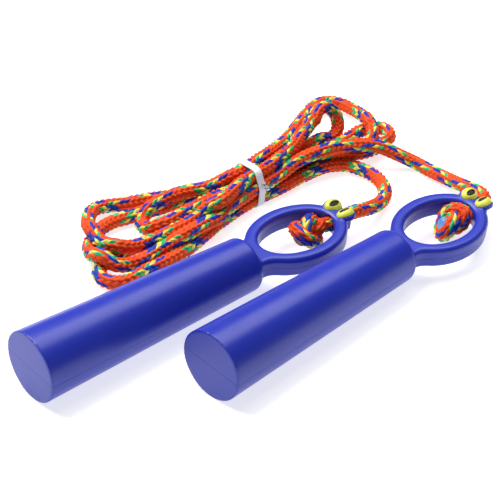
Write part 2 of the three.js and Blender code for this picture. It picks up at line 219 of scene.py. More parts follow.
def arc_lengths(points):
    """How far along the polyline each of its points is."""
    return np.concatenate([[0], np.cumsum(np.linalg.norm(np.diff(points, axis=0), axis=1))])


def resample(points, step):
    """Evenly spaced points along a polyline, and how far along it each of them is."""
    arc = arc_lengths(points)
    s = np.linspace(0, arc[-1], int(round(arc[-1] / step)) + 1)
    return np.stack([np.interp(s, arc, points[:, k]) for k in range(3)], 1), s


def guide():
    """The rope's guide from knot to knot, and how firmly it holds the rope at each node."""
    left, right = handle_matrix("left"), handle_matrix("right")
    points = [tuple(left @ Vector((x, 0, 0))) for x in ON_AXIS] + LEAD_LEFT
    holds = [HELD] * len(points)
    for hold, strand in HANK:
        points += strand
        holds += [hold] * len(strand)
    ending = LEAD_RIGHT[::-1] + [tuple(right @ Vector((x, 0, 0))) for x in ON_AXIS[::-1]]
    points += ending
    holds += [HELD] * len(ending)
    curve = smooth_curve(points, 2.0)
    arc = arc_lengths(curve)
    marks, at = [], 0
    for p in points:
        at += int(np.argmin(np.linalg.norm(curve[at : at + 60] - p, axis=1)))
        marks.append(arc[at])
    nodes, s = resample(curve, NODE_STEP)
    return nodes, np.interp(s, marks, holds)


def close_pairs(x, apart, reach):
    """Pairs of nodes within reach of each other, and at least that many nodes apart."""
    i, j = np.triu_indices(len(x), apart)
    d = x[i] - x[j]
    near = (d * d).sum(1) < reach * reach
    return i[near], j[near]


def keep_lengths(x, rest):
    """Every segment goes back to its rest length, first the even ones and then the odd ones."""
    for first in (0, 1):
        count = min(len(x[first:-1:2]), len(x[first + 1 :: 2]))
        a = slice(first, first + 2 * count, 2)
        b = slice(first + 1, first + 1 + 2 * count, 2)
        v = x[b] - x[a]
        length = np.linalg.norm(v, axis=1)[:, None]
        change = 0.5 * (length - rest) * v / length
        x[a] += change
        x[b] -= change


def push_apart(x, i, j, diameter, share):
    """Two strands can't be in one place: nodes closer than the diameter move apart."""
    d = x[i] - x[j]
    dist = np.sqrt((d * d).sum(1))
    hit = dist < diameter
    push = (share * (diameter - dist[hit]) / np.maximum(dist[hit], 1e-6))[:, None] * d[hit]
    np.add.at(x, i[hit], push)
    np.add.at(x, j[hit], -push)


def straighten(x, share, reach):
    """The rope's stiffness: each node moves towards the middle of the two nodes that far from it."""
    middle = 0.5 * (x[: -2 * reach] + x[2 * reach :])
    x[reach:-reach] += share * (middle - x[reach:-reach])


def open_bends(x, rest, share):
    """No bend gets tighter than TIGHTEST: the chords across 2, 4 and 6 segments keep their lengths."""
    for reach in (2, 4, 6):
        shortest = 2 * TIGHTEST * math.sin(reach * rest / 2 / TIGHTEST)
        a, b = x[:-reach], x[reach:]
        v = b - a
        length = np.linalg.norm(v, axis=1)
        short = length < shortest
        push = (share * (shortest - length[short]) / np.maximum(length[short], 1e-6))[:, None] * v[short]
        at = np.where(short)[0]
        np.add.at(x, at, -0.5 * push)
        np.add.at(x, at + reach, 0.5 * push)


def settle(target, holds):
    """The rope lies down along its guide: it keeps its length, and rests on the floor and on itself."""
    x = target.copy()
    rest = arc_lengths(target)[-1] / (len(target) - 1)
    ray = target - np.array(CAMERA_PLACE) / MM
    ray /= np.linalg.norm(ray, axis=1)[:, None]
    levels = range(len(FALL))
    across = np.interp(holds, levels, HOLD_ACROSS)[:, None]
    along = np.interp(holds, levels, HOLD_ALONG)[:, None]
    fall = np.interp(holds, levels, FALL)
    lowest = ROPE_RADIUS + FLOOR_GAP
    for step in range(RELAX_ROUNDS):
        if step % 8 == 0:
            i, j = close_pairs(x, 4, 2.2 * ROPE_DIAMETER)
        off = target - x
        deep = (off * ray).sum(1)[:, None] * ray
        x += across * (off - deep) + along * deep
        x[:, 2] -= fall
        for _ in range(STIFFENING):
            straighten(x, STIFF_NEAR, 1)
        straighten(x, STIFF_FAR, 2)
        for _ in range(RELAX_PASSES):
            keep_lengths(x, rest)
            open_bends(x, rest, OPENING)
            push_apart(x, i, j, ROPE_DIAMETER, PUSHING)
            x[:, 2] = np.maximum(x[:, 2], lowest)
    return x


# ---------------------------------------------------------------- overhand knots

KNOT_SCALE = 4.6
KNOT_PRESS = 5.2
KNOT_REACH = 26.0
KNOT_LENGTH = 2 * KNOT_REACH + 8.0 * KNOT_PRESS
KNOT_STANDING = 9.0
KNOT_NODES = 130
KNOT_ROUNDS = 700
KNOT_PASSES = 10
KNOT_STIFFNESS = (0.04, 0.03)
KNOT_PUSHING = 0.4
KNOT_THINNING = 0.92
TREFOIL_GAP = 0.55
TREFOIL_RISE = 2.6
TREFOIL_END = 2.4


def overhand():
    """A tight overhand knot along X, its standing part first, at +X.

    A loose trefoil is drawn tight: its ends stay where they are and the rope gets shorter.
    """
    t = np.linspace(math.pi + TREFOIL_GAP, 3 * math.pi - TREFOIL_GAP, 24)
    loop = np.stack([np.sin(t) + 2 * np.sin(2 * t), np.cos(t) - 2 * np.cos(2 * t), -np.sin(3 * t)], 1)
    loop = KNOT_SCALE * loop
    loop[:, 1] += TREFOIL_RISE * KNOT_SCALE
    finish = [(-TREFOIL_END * KNOT_SCALE, 0, 0), (-KNOT_REACH, 0, 0)]
    start = [(-x, y, z) for x, y, z in finish[::-1]]
    path = smooth_curve(start + [tuple(p) for p in loop] + finish, 1.0)
    loose = arc_lengths(path)[-1]
    x, _ = resample(path, loose / (KNOT_NODES - 1))
    ends = x[[0, -1], 0].copy()
    for step in range(KNOT_ROUNDS):
        drawn = min(1.0, step / (0.8 * KNOT_ROUNDS))
        rest = (loose + (KNOT_LENGTH - loose) * drawn) / (KNOT_NODES - 1)
        if step % 6 == 0:
            i, j = close_pairs(x, int(1.55 * KNOT_PRESS / rest), 2.5 * ROPE_DIAMETER)
        for reach, share in enumerate(KNOT_STIFFNESS, 1):
            straighten(x, share, reach)
        for _ in range(KNOT_PASSES):
            keep_lengths(x, rest)
            push_apart(x, i, j, KNOT_PRESS, KNOT_PUSHING)
            x[[0, -1], 0] = ends
    x[:, 1:] -= 0.5 * (x[0, 1:] + x[-1, 1:])
    # The bulk sits centred over its hole, and the standing part runs to it from the axis.
    middle = np.abs(x[:, 0]) < 6
    centre = 0.5 * (x[middle].max(0) + x[middle].min(0))
    away = np.clip((KNOT_STANDING - x[:, 0]) / 5, 0, 1)[:, None]
    x[:, 1:] -= centre[1:] * away * away * (3 - 2 * away)
    x[:, 1:] *= KNOT_THINNING * np.clip((KNOT_STANDING - x[:, :1]) / 3, 0, 1) ** 0.5
    return x


# ---------------------------------------------------------------- meshes


def add_mesh(name, vertices, faces, materials):
    """A smooth-shaded object from vertices in millimetres."""
    mesh = bpy.data.meshes.new(name)
    mesh.from_pydata((np.asarray(vertices) * MM).tolist(), [], faces)
    for material in materials:
        mesh.materials.append(material)
    mesh.polygons.foreach_set("use_smooth", np.ones(len(mesh.polygons), bool))
    mesh.update()
    made = bpy.data.objects.new(name, mesh)
    bpy.context.scene.collection.objects.link(made)
    return made


# ---------------------------------------------------------------- braided rope mesh

# Twenty carriers, ten each way, each over two and under two: their stitches stand in ten columns,
# which lean left and right in turn.
BRAID_PITCH = 27.0
CARRIERS = 10
COLUMNS = 10
STITCH = BRAID_PITCH / CARRIERS
STITCH_STEPS = 4
COLUMN_STEPS = 4
STITCH_ANGLE = math.radians(43)
CORE_RADIUS = 2.6
CROWN_RADIUS = 3.42
ACROSS_PROFILE = (0.05, 0.8, 1.0, 0.8)
ALONG_PROFILE = (0.0, 0.82, 1.0, 0.82)
ORANGE, BLUE, YELLOW, GREEN = 0, 1, 2, 3
TRACERS = (BLUE, BLUE, YELLOW, GREEN)


def turned_frames(points):
    """Tangents, and normals that turn as little as they can along the curve."""
    tangents = np.gradient(points, axis=0)
    tangents /= np.linalg.norm(tangents, axis=1)[:, None]
    normal = np.cross(tangents[0], (0.0, 0.0, 1.0))
    if np.linalg.norm(normal) < 0.1:
        normal = np.cross(tangents[0], (0.0, 1.0, 0.0))
    normals = [normal / np.linalg.norm(normal)]
    for t in tangents[1:]:
        n = normals[-1] - normals[-1].dot(t) * t
        normals.append(n / np.linalg.norm(n))
    return tangents, np.array(normals)


def braid_mesh(name, points, turn, materials):
    """A braided tube along the points. Each stitch is a small crowned patch in its carrier's colour."""
    ring_step = STITCH / STITCH_STEPS
    curve, _ = resample(smooth_curve(points, 0.5), ring_step)
    tangents, normals = turned_frames(curve)
    sides = np.cross(tangents, normals)
    rings, around = len(curve), COLUMNS * COLUMN_STEPS
    k, a = np.meshgrid(np.arange(rings), np.arange(around), indexing="ij")
    column, within = a // COLUMN_STEPS, a % COLUMN_STEPS
    lean = math.pi * ROPE_DIAMETER / COLUMNS / 2 / math.tan(STITCH_ANGLE) / ring_step
    zigzag = np.where(column % 2 == 0, 1, -1) * (within / COLUMN_STEPS * 2 - 1) * lean
    place = np.clip(k + zigzag, 0, rings - 1)
    base = np.minimum(place.astype(int), rings - 2)
    part = (place - base)[..., None]

    def along(values):
        return values[base] * (1 - part) + values[base + 1] * part

    angle = turn + 2 * math.pi * a / around
    outwards = along(normals) * np.cos(angle)[..., None] + along(sides) * np.sin(angle)[..., None]
    half_stitch = STITCH_STEPS // 2
    phase = (k + half_stitch * (column % 2)) % STITCH_STEPS
    crown = np.array(ACROSS_PROFILE)[within] * np.where(
        within == 0, 1.0, np.array(ALONG_PROFILE)[phase])
    crown[0] = crown[-1] = 0.0
    radius = CORE_RADIUS + (CROWN_RADIUS - CORE_RADIUS) * crown
    vertices = (along(curve) + radius[..., None] * outwards).reshape(-1, 3)

    f, g = np.meshgrid(np.arange(rings - 1), np.arange(around), indexing="ij")
    h = (g + 1) % around
    faces = np.stack([f * around + g, f * around + h, (f + 1) * around + h, (f + 1) * around + g], -1)
    face_column = g // COLUMN_STEPS
    stitch = (f + half_stitch * (face_column % 2)) // STITCH_STEPS
    pair = face_column // 2
    carrier = np.where(face_column % 2 == 0, stitch - 2 * pair, stitch + 2 * pair) % CARRIERS
    colour = np.select([carrier == n for n in range(len(TRACERS))], TRACERS, ORANGE)

    caps = [len(vertices), len(vertices) + 1]
    vertices = np.vstack([vertices, curve[0], curve[-1]])
    last = (rings - 1) * around
    lids = [(caps[0], (n + 1) % around, n) for n in range(around)]
    lids += [(caps[1], last + n, last + (n + 1) % around) for n in range(around)]
    made = add_mesh(name, vertices, faces.reshape(-1, 4).tolist() + lids, materials)
    mesh = made.data
    indices = np.concatenate([colour.ravel(), np.zeros(len(lids), int)]).astype(np.int32)
    mesh.polygons.foreach_set("material_index", indices)
    # Across and along each stitch, for its fibres.
    v0 = (f + half_stitch * (face_column % 2)) % STITCH_STEPS / STITCH_STEPS
    u0 = (g % COLUMN_STEPS) / COLUMN_STEPS
    du, dv = 1 / COLUMN_STEPS, 1 / STITCH_STEPS
    corners = np.stack([
        np.stack([u0, v0], -1), np.stack([u0 + du, v0], -1),
        np.stack([u0 + du, v0 + dv], -1), np.stack([u0, v0 + dv], -1)], -2)
    shift = np.stack([face_column.astype(float), stitch.astype(float)], -1)[..., None, :]
    layer = mesh.uv_layers.new(name="braid")
    flat = np.concatenate([(corners + shift).ravel(), np.zeros(len(lids) * 6)])
    layer.data.foreach_set("uv", flat.astype(np.float32))
    mesh.update()
    return made, curve


# ---------------------------------------------------------------- meshes from distance functions

SHARP = math.radians(38)
SLOPE_STEP = 1e-3


def rounded_cut(a, b, radius):
    """Where both a and b are inside, with the edge between them rounded."""
    a, b = a + radius, b + radius
    return np.minimum(np.maximum(a, b), 0) + np.hypot(np.maximum(a, 0), np.maximum(b, 0)) - radius


def soft_join(a, b, radius):
    """a and b together, with a fillet where they meet."""
    h = np.maximum(radius - np.abs(a - b), 0) / radius
    return np.minimum(a, b) - h * h * radius / 4


def ellipse_distance(x, y, half_x, half_y):
    k0 = np.hypot(x / half_x, y / half_y)
    k1 = np.hypot(x / half_x**2, y / half_y**2)
    return k0 * (k0 - 1) / np.maximum(k1, 1e-6)


def box_distance(p, low, high, radius):
    centre = (np.array(low) + np.array(high)) / 2
    half = (np.array(high) - np.array(low)) / 2 - radius
    q = np.abs(p - centre) - half
    return np.linalg.norm(np.maximum(q, 0), axis=-1) + np.minimum(q.max(-1), 0) - radius


def surface_nets(distance, low, high, cell):
    """Vertices and quads of the surface where the distance is zero, on a grid of cubes."""
    counts = [int(math.ceil((b - a) / cell)) + 2 for a, b in zip(low, high)]
    axes = [a - cell / 2 + cell * np.arange(n) for a, n in zip(low, counts)]
    grid = np.stack(np.meshgrid(*axes, indexing="ij"), -1)
    values = distance(grid.reshape(-1, 3)).reshape(counts)
    inside = values < 0
    cells = [n - 1 for n in counts]
    total, hits = np.zeros((*cells, 3)), np.zeros(cells)
    corners = [(i, j, k) for i in (0, 1) for j in (0, 1) for k in (0, 1)]

    def corner(array, c):
        return array[c[0] : c[0] + cells[0], c[1] : c[1] + cells[1], c[2] : c[2] + cells[2]]

    for one in corners:
        for axis in range(3):
            if one[axis]:
                continue
            two = tuple(v + (n == axis) for n, v in enumerate(one))
            a, b = corner(values, one), corner(values, two)
            crossed = (a < 0) != (b < 0)
            share = np.where(crossed, a / np.where(crossed, a - b, 1), 0)[..., None]
            total += np.where(
                crossed[..., None], corner(grid, one) * (1 - share) + corner(grid, two) * share, 0)
            hits += crossed
    used = hits > 0
    number = np.full(cells, -1)
    number[used] = np.arange(used.sum())
    vertices = total[used] / hits[used][:, None]
    quads = []
    for axis in range(3):
        b, c = (axis + 1) % 3, (axis + 2) % 3
        first = [slice(None)] * 3
        second = [slice(None)] * 3
        first[axis], second[axis] = slice(None, -1), slice(1, None)
        change = inside[tuple(first)].astype(int) - inside[tuple(second)].astype(int)
        where = np.argwhere(change != 0)
        sign = change[change != 0]
        keep = (where[:, b] > 0) & (where[:, c] > 0)
        keep &= (where[:, b] < counts[b] - 1) & (where[:, c] < counts[c] - 1)
        where, sign = where[keep], sign[keep]
        around = []
        for db, dc in ((-1, -1), (0, -1), (0, 0), (-1, 0)):
            w = where.copy()
            w[:, b] += db
            w[:, c] += dc
            around.append(number[w[:, 0], w[:, 1], w[:, 2]])
        quad = np.stack(around, 1)
        quad[sign < 0] = quad[sign < 0][:, ::-1]
        quads.append(quad)
    return vertices, np.vstack(quads)


def slopes(distance, p):
    """The distance at the points, and how it grows along X, Y and Z."""
    here = distance(p)
    grown = [distance(p + SLOPE_STEP * axis) - here for axis in np.eye(3)]
    return here, np.stack(grown, 1) / SLOPE_STEP


def refine(vertices, quads, distance, rounds=4):
    """Spreads the vertices evenly and sets each on the surface again."""
    neighbours = np.vstack([quads[:, [0, 1]], quads[:, [1, 2]], quads[:, [2, 3]], quads[:, [3, 0]]])
    for turn in range(rounds):
        if turn < rounds - 1:
            total, hits = np.zeros_like(vertices), np.zeros(len(vertices))
            np.add.at(total, neighbours[:, 0], vertices[neighbours[:, 1]])
            np.add.at(hits, neighbours[:, 0], 1)
            vertices = 0.5 * vertices + 0.5 * total / np.maximum(hits, 1)[:, None]
        for _ in range(2):
            here, slope = slopes(distance, vertices)
            size = np.maximum((slope * slope).sum(1), 0.05)
            vertices = vertices - (here / size)[:, None] * slope
    return vertices


def crisp_edge(vertices, near, distance, height):
    """Sets the given vertices on the edge between a surface and the plane z = height."""
    edge = vertices[near]
    edge[:, 2] = height
    for _ in range(4):
        here, slope = slopes(distance, edge)
        slope[:, 2] = 0
        edge -= (here / np.maximum((slope * slope).sum(1), 0.05))[:, None] * slope
    vertices[near] = edge


def solid(name, distance, low, high, cell, matrix, materials, edge=None):
    """The surface where the distance is zero. edge is the height at which a shell half is cut off."""
    vertices, quads = surface_nets(distance, low, high, cell)
    if edge is not None:
        near = np.abs(vertices[:, 2] - edge) < 0.5 * cell
        near &= np.abs(handle_distance(vertices)) < 0.55 * cell
    vertices = refine(vertices, quads, distance)
    if edge is not None:
        crisp_edge(vertices, near, handle_distance, edge)
    turned = np.array(matrix)
    vertices = vertices @ turned[:3, :3].T + turned[:3, 3]
    made = add_mesh(name, vertices, quads.tolist(), materials)
    made.data.set_sharp_from_angle(angle=SHARP)
    made.data.update()
    return made


# ---------------------------------------------------------------- handles

SHELL_CELL = 0.6
SHELL_LOW = (-0.5, -19.2, -15.6)
SHELL_HIGH = (168.5, 19.2, 15.6)
EYE_CELL = 0.22
PUPIL_CELL = 0.12
LIP = 0.4
CUP_HALF_DEPTH = 1.0
CUP_ROUND = 0.4
CUP_FILLET = 0.6


def eye_matrix(side):
    """An eye's own frame: X along the handle, Z up out of the eye. side is 1 on the +Y side."""
    return Matrix.Translation((EYE_ALONG, side * EYE_ASIDE, EYE_BASE)) @ Matrix.Rotation(
        side * EYE_TILT, 4, "X")


def in_eye(p, side):
    """Points of the handle's frame, in an eye's own frame."""
    back = np.array(eye_matrix(side).inverted())
    return p @ back[:3, :3].T + back[:3, 3]


def handle_distance(p):
    """The whole handle's outside: tapered barrel, neck, ring, the rope's snout and the eyes' cups."""
    x, y, z = p[:, 0], p[:, 1], p[:, 2]
    r = np.hypot(y, z)
    slope = (BUTT_RADIUS - SHOULDER_RADIUS) / BARREL_LENGTH
    wall = (r - BUTT_RADIUS + slope * x) * math.cos(TAPER_ANGLE)
    barrel = rounded_cut(rounded_cut(wall, x - BARREL_LENGTH, SHOULDER_ROUND), -x, BUTT_ROUND)
    flat = np.abs(z) - RING_HEIGHT / 2
    outer = ellipse_distance(x - RING_CENTRE, y, RING_HALF_LENGTH, RING_HALF_WIDTH)
    inner = ellipse_distance(
        x - RING_CENTRE, y, RING_HALF_LENGTH - RING_RAIL, RING_HALF_WIDTH - RING_RAIL)
    neck = np.maximum(np.abs(y) - NECK_HALF_WIDTH, np.abs(x - NECK_CENTRE) - NECK_HALF_LENGTH)
    outer = soft_join(outer, neck, NECK_FILLET)
    ring = np.maximum(rounded_cut(outer, flat, RING_ROUND), rounded_cut(-inner, flat, RING_ROUND))
    body = soft_join(barrel, ring, RING_FILLET)
    body = soft_join(body, box_distance(p, *SNOUT, SNOUT_ROUND), SNOUT_FILLET)
    for side in (-1, 1):
        q = in_eye(p, side)
        rim = ellipse_distance(q[:, 0], q[:, 1], EYE_HALVES[0] + LIP, EYE_HALVES[1] + LIP)
        cup = rounded_cut(rim, np.abs(q[:, 2] + CUP_HALF_DEPTH) - CUP_HALF_DEPTH, CUP_ROUND)
        body = soft_join(body, cup, CUP_FILLET)
    hole = np.maximum(r - HOLE_RADIUS, HOLE_STARTS - x)
    return rounded_cut(body, -hole, HOLE_ROUND)


def upper_distance(p):
    return np.maximum(handle_distance(p), PARTING_GAP / 2 - p[:, 2])


def lower_distance(p):
    return np.maximum(handle_distance(p), PARTING_GAP / 2 + p[:, 2])


def eye_distance(p):
    """An oval dome with a cup for the pupil let into it."""
    x, y, z = p[:, 0], p[:, 1], p[:, 2]
    k0 = np.sqrt((x / EYE_HALVES[0]) ** 2 + (y / EYE_HALVES[1]) ** 2 + (z / EYE_DOME) ** 2)
    k1 = np.sqrt((x / EYE_HALVES[0] ** 2) ** 2 + (y / EYE_HALVES[1] ** 2) ** 2
                 + (z / EYE_DOME**2) ** 2)
    dome = k0 * (k0 - 1) / np.maximum(k1, 1e-6)
    cup = ellipse_distance(x, y, PUPIL_HALVES[0] + 0.2, PUPIL_HALVES[1] + 0.2)
    cup = np.maximum(cup, PUPIL_FLOOR - z)
    return rounded_cut(rounded_cut(dome, -z, 0.3), -cup, 0.3)


def pupil_distance(p):
    """A raised oval rim round a shallow domed middle."""
    x, y, z = p[:, 0], p[:, 1], p[:, 2]
    oval = ellipse_distance(x, y, *PUPIL_HALVES)
    dip = 0.35 * np.clip((-oval - 0.35) / 0.25, 0, 1)
    swell = 0.25 * np.clip(-oval - 0.6, 0, 1)
    top = z - (PUPIL_FLOOR + 1.05 - dip + swell)
    return rounded_cut(rounded_cut(oval, top, 0.15), PUPIL_FLOOR - z, 0.1)


# ---------------------------------------------------------------- materials


class Paint:
    """Builds a Principled material's nodes with short calls."""

    def __init__(self, name, roughness=0.5):
        self.material = bpy.data.materials.new(name)
        self.material.use_nodes = True
        self.tree = self.material.node_tree
        self.shader = self.tree.nodes["Principled BSDF"]
        self.shader.inputs["Roughness"].default_value = roughness

    def node(self, kind, **values):
        made = self.tree.nodes.new(kind)
        for key, value in values.items():
            if key in made.inputs:
                made.inputs[key].default_value = value
            else:
                setattr(made, key, value)
        return made

    def link(self, source, target):
        self.tree.links.new(source, target)

    def noise(self, scale, detail):
        place = self.node("ShaderNodeTexCoord")
        noise = self.node("ShaderNodeTexNoise", Scale=scale, Detail=detail)
        self.link(place.outputs["Object"], noise.inputs["Vector"])
        return noise.outputs["Fac"]

    def ramp(self, source, low, high, low_place=0.35, high_place=0.65):
        ramp = self.node("ShaderNodeValToRGB")
        first, second = ramp.color_ramp.elements
        first.position, second.position = low_place, high_place
        first.color, second.color = (*low, 1), (*high, 1)
        self.link(source, ramp.inputs["Fac"])
        return ramp.outputs["Color"]

    def bump(self, source, strength, distance):
        bump = self.node("ShaderNodeBump", Strength=strength, Distance=distance)
        self.link(source, bump.inputs["Height"])
        self.link(bump.outputs["Normal"], self.shader.inputs["Normal"])

    def range(self, source, low, high):
        mapped = self.node("ShaderNodeMapRange")
        mapped.inputs["To Min"].default_value = low
        mapped.inputs["To Max"].default_value = high
        self.link(source, mapped.inputs["Value"])
        return mapped.outputs["Result"]


def moulded_plastic(name, colour, deep, roughness):
    """Satin moulded plastic: faint flow marks, a fine eggshell grain and small gloss changes."""
    paint = Paint(name, roughness)
    flow = paint.noise(14.0, 2.0)
    paint.link(paint.ramp(flow, deep, colour), paint.shader.inputs["Base Color"])
    paint.link(
        paint.range(paint.noise(90.0, 4.0), roughness - 0.05, roughness + 0.08),
        paint.shader.inputs["Roughness"])
    paint.bump(paint.noise(1600.0, 2.0), 0.12, 0.0001)
    return paint.material


def braid_yarn(name, colour, deep):
    """Filament yarn: lines of fibres along each stitch, some darker than others, over patches of deeper
    colour.
    """
    paint = Paint(name, 0.55)
    paint.shader.inputs["Specular IOR Level"].default_value = 0.2
    place = paint.node("ShaderNodeUVMap", uv_map="braid")
    mapping = paint.node("ShaderNodeMapping")
    mapping.inputs["Scale"].default_value = (0.7, 9.0, 1.0)
    paint.link(place.outputs["UV"], mapping.inputs["Vector"])
    fibres = paint.node("ShaderNodeTexNoise", Scale=1.0, Detail=3.0)
    paint.link(mapping.outputs["Vector"], fibres.inputs["Vector"])
    patches = paint.ramp(paint.noise(160.0, 2.0), deep, colour, 0.25, 0.6)
    # The mix node's colours are its inputs 6 and 7 and its output 2.
    shades = paint.node("ShaderNodeMix", data_type="RGBA", blend_type="MULTIPLY")
    shades.inputs["Factor"].default_value = 0.45
    paint.link(patches, shades.inputs[6])
    paint.link(
        paint.ramp(fibres.outputs["Fac"], (0.45, 0.45, 0.45), (1, 1, 1), 0.3, 0.6), shades.inputs[7])
    paint.link(shades.outputs[2], paint.shader.inputs["Base Color"])
    paint.bump(fibres.outputs["Fac"], 0.5, 0.00025)
    return paint.material


def make_materials():
    return {
        "blue": moulded_plastic("handle_blue", (0.014, 0.030, 0.42), (0.011, 0.024, 0.36), 0.32),
        "yellow": moulded_plastic("eye_yellow", (0.72, 0.74, 0.085), (0.62, 0.66, 0.06), 0.36),
        "black": moulded_plastic("pupil_black", (0.012, 0.012, 0.014), (0.006, 0.006, 0.008), 0.3),
        # The pupil's middle is glossier than its rim, and its lighter grey is a painted reflection.
        "painted_reflection_grey": moulded_plastic("pupil_middle_painted_reflection", (0.045, 0.05, 0.05), (0.03, 0.033, 0.035), 0.22),
        "tie": moulded_plastic("tie_white", (0.86, 0.86, 0.86), (0.76, 0.76, 0.76), 0.28),
        "seal": moulded_plastic("rope_seal", (0.13, 0.33, 0.66), (0.09, 0.25, 0.55), 0.3),
        "melted": moulded_plastic("rope_melted", (0.006, 0.014, 0.012), (0.003, 0.006, 0.008), 0.5),
        "braid": [
            braid_yarn("braid_orange", (0.88, 0.088, 0.009), (0.68, 0.042, 0.004)),
            braid_yarn("braid_blue", (0.018, 0.055, 0.46), (0.010, 0.026, 0.28)),
            braid_yarn("braid_yellow", (0.88, 0.80, 0.12), (0.76, 0.64, 0.06)),
            braid_yarn("braid_green", (0.02, 0.55, 0.20), (0.01, 0.36, 0.11)),
        ],
    }


# ---------------------------------------------------------------- pieces

KNOT_PLACES = {"left": 145.5, "right": 145.8}
KNOT_SIZES = {"left": 0.97, "right": 0.9}
KNOT_TURNS = {"left": math.radians(34), "right": math.radians(153)}
KNOT_BRAID_TURN = 0.6
KNOT_INTO_HOLE = 3.4
KNOT_TAILS = {"left": 5.9, "right": 5.2}
TIE_RIDGES = (-0.44, -0.15, 0.15, 0.44)
TIE_CLEARANCE = 0.15
TIE_THICKNESS = 0.2
TIE_RIDGE_HEIGHT = 0.55
TIE_SLANT = 0.12
TIE_STEPS = 160
TWIST_LENGTH = 4.6
TWIST_TURN = 2.4 * math.pi
TWIST_RADIUS = 0.55
TWIST_LEAN = 1.2
TWIST_HALF_THICKNESS = 0.22
TWIST_STEPS = 26


def make_rope(look):
    target, holds = guide()
    nodes = settle(target, holds)
    rope, curve = braid_mesh("rope", nodes, 0.0, look["braid"])
    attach(rope, "rope")
    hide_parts("rope_hank", "rope_lead_left", "rope_lead_right")
    return rope, curve


def make_knot(side, look, knot):
    """The knot inside one ring, and the sealed end of its tail."""
    standing = np.argmin(np.abs(knot[: len(knot) // 2, 0] - KNOT_STANDING - KNOT_INTO_HOLE))
    cut = len(knot) // 2 + np.argmin(np.abs(knot[len(knot) // 2 :, 0] + KNOT_TAILS[side]))
    turned = np.array(handle_matrix(side) @ Matrix.Translation((KNOT_PLACES[side], 0, 0))
                      @ Matrix.Rotation(KNOT_TURNS[side], 4, "X"))
    start = np.array((KNOT_STANDING, 0, 0))
    knot = start + KNOT_SIZES[side] * (knot - start)
    whole = knot @ turned[:3, :3].T + turned[:3, 3]
    piece, _ = braid_mesh(
        f"{side}_overhand_knot", whole[standing:cut], KNOT_BRAID_TURN, look["braid"])
    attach(piece, "rope")
    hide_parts(f"{side}_knot")
    end = end_cap(
        f"{side}_sealed_end", whole[cut - 2 : cut + 1], look["seal" if side == "right" else "melted"])
    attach(end, "rope")
    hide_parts(f"{side}_rope_end")
    return piece, end


def end_cap(name, points, material):
    """A wrapped and sealed rope end: a short sleeve with a rounded tip and small wrinkles."""
    start = Vector(points[0])
    way = (Vector(points[-1]) - start).normalized()
    matrix = Matrix.Translation(start) @ way.to_track_quat("X", "Z").to_matrix().to_4x4()
    length = (Vector(points[-1]) - start).length + 1.2

    def distance(p):
        r = np.hypot(p[:, 1], p[:, 2])
        turn = np.arctan2(p[:, 2], p[:, 1])
        wrinkle = 0.07 * np.sin(9 * turn + 1.3 * p[:, 0]) + 0.06 * np.sin(5.2 * p[:, 0])
        side = r - (ROPE_RADIUS * 1.01 + wrinkle)
        return rounded_cut(rounded_cut(side, p[:, 0] - length, 0.9), -p[:, 0], 0.3)

    return solid(name, distance, (-0.6, -3.8, -3.8), (length + 0.6, 3.8, 3.8), 0.25, matrix, [material])


def convex_outline(points):
    """The convex outline of flat points, anticlockwise."""
    ordered = sorted(map(tuple, points))
    chains = []
    for run in (ordered, ordered[::-1]):
        chain = []
        for p in run:
            while len(chain) > 1:
                (ax, ay), (bx, by) = chain[-2], chain[-1]
                if (bx - ax) * (p[1] - ay) - (by - ay) * (p[0] - ax) > 0:
                    break
                chain.pop()
            chain.append(p)
        chains += chain[:-1]
    return np.array(chains)


def tie_loop(curve):
    """The ribbon's closed path round the rope at TIE_PLACE, as Y and Z, and its outward normals."""
    near = np.abs(curve[:, 0] - TIE_PLACE) < 3.0
    near &= (curve[:, 1] > 50) & (curve[:, 1] < 90)
    turns = np.linspace(0, 2 * math.pi, 24, endpoint=False)
    reach = ROPE_RADIUS + TIE_CLEARANCE
    disc = reach * np.stack([np.cos(turns), np.sin(turns)], 1)
    cloud = (curve[near][:, None, 1:] + disc[None]).reshape(-1, 2)
    cloud[:, 1] = np.maximum(cloud[:, 1], 0.12)
    outline = convex_outline(cloud)
    closed = np.vstack([outline, outline[:1]])
    arc = arc_lengths(np.hstack([np.zeros((len(closed), 1)), closed]))
    s = np.linspace(0, arc[-1], TIE_STEPS, endpoint=False)
    loop = np.stack([np.interp(s, arc, closed[:, n]) for n in (0, 1)], 1)
    ahead, behind = np.roll(loop, -1, 0), np.roll(loop, 1, 0)
    outwards = (ahead - behind)[:, ::-1] * np.array([1, -1])
    return loop, outwards / np.linalg.norm(outwards, axis=1)[:, None]


def twist_strand(start, first_turn):
    """One of the two narrow strips that are wound round each other at the ribbon's ends."""
    way = Vector((0.35, -0.35, -0.75)).normalized()
    side = way.cross(Vector((0, 0, 1))).normalized()
    up = side.cross(way)
    vertices = []
    for n in range(TWIST_STEPS):
        f = n / (TWIST_STEPS - 1)
        turn = first_turn + TWIST_TURN * f
        spoke = side * math.cos(turn) + up * math.sin(turn)
        centre = start + way * (TWIST_LENGTH * f) + spoke * TWIST_RADIUS
        wide = side * math.cos(turn + TWIST_LEAN) + up * math.sin(turn + TWIST_LEAN)
        thin = way.cross(wide)
        for a, b in ((-1, -1), (1, -1), (1, 1), (-1, 1)):
            corner = centre + wide * (a * (0.9 - 0.3 * f)) + thin * (b * TWIST_HALF_THICKNESS)
            vertices.append(tuple(corner))
    return vertices


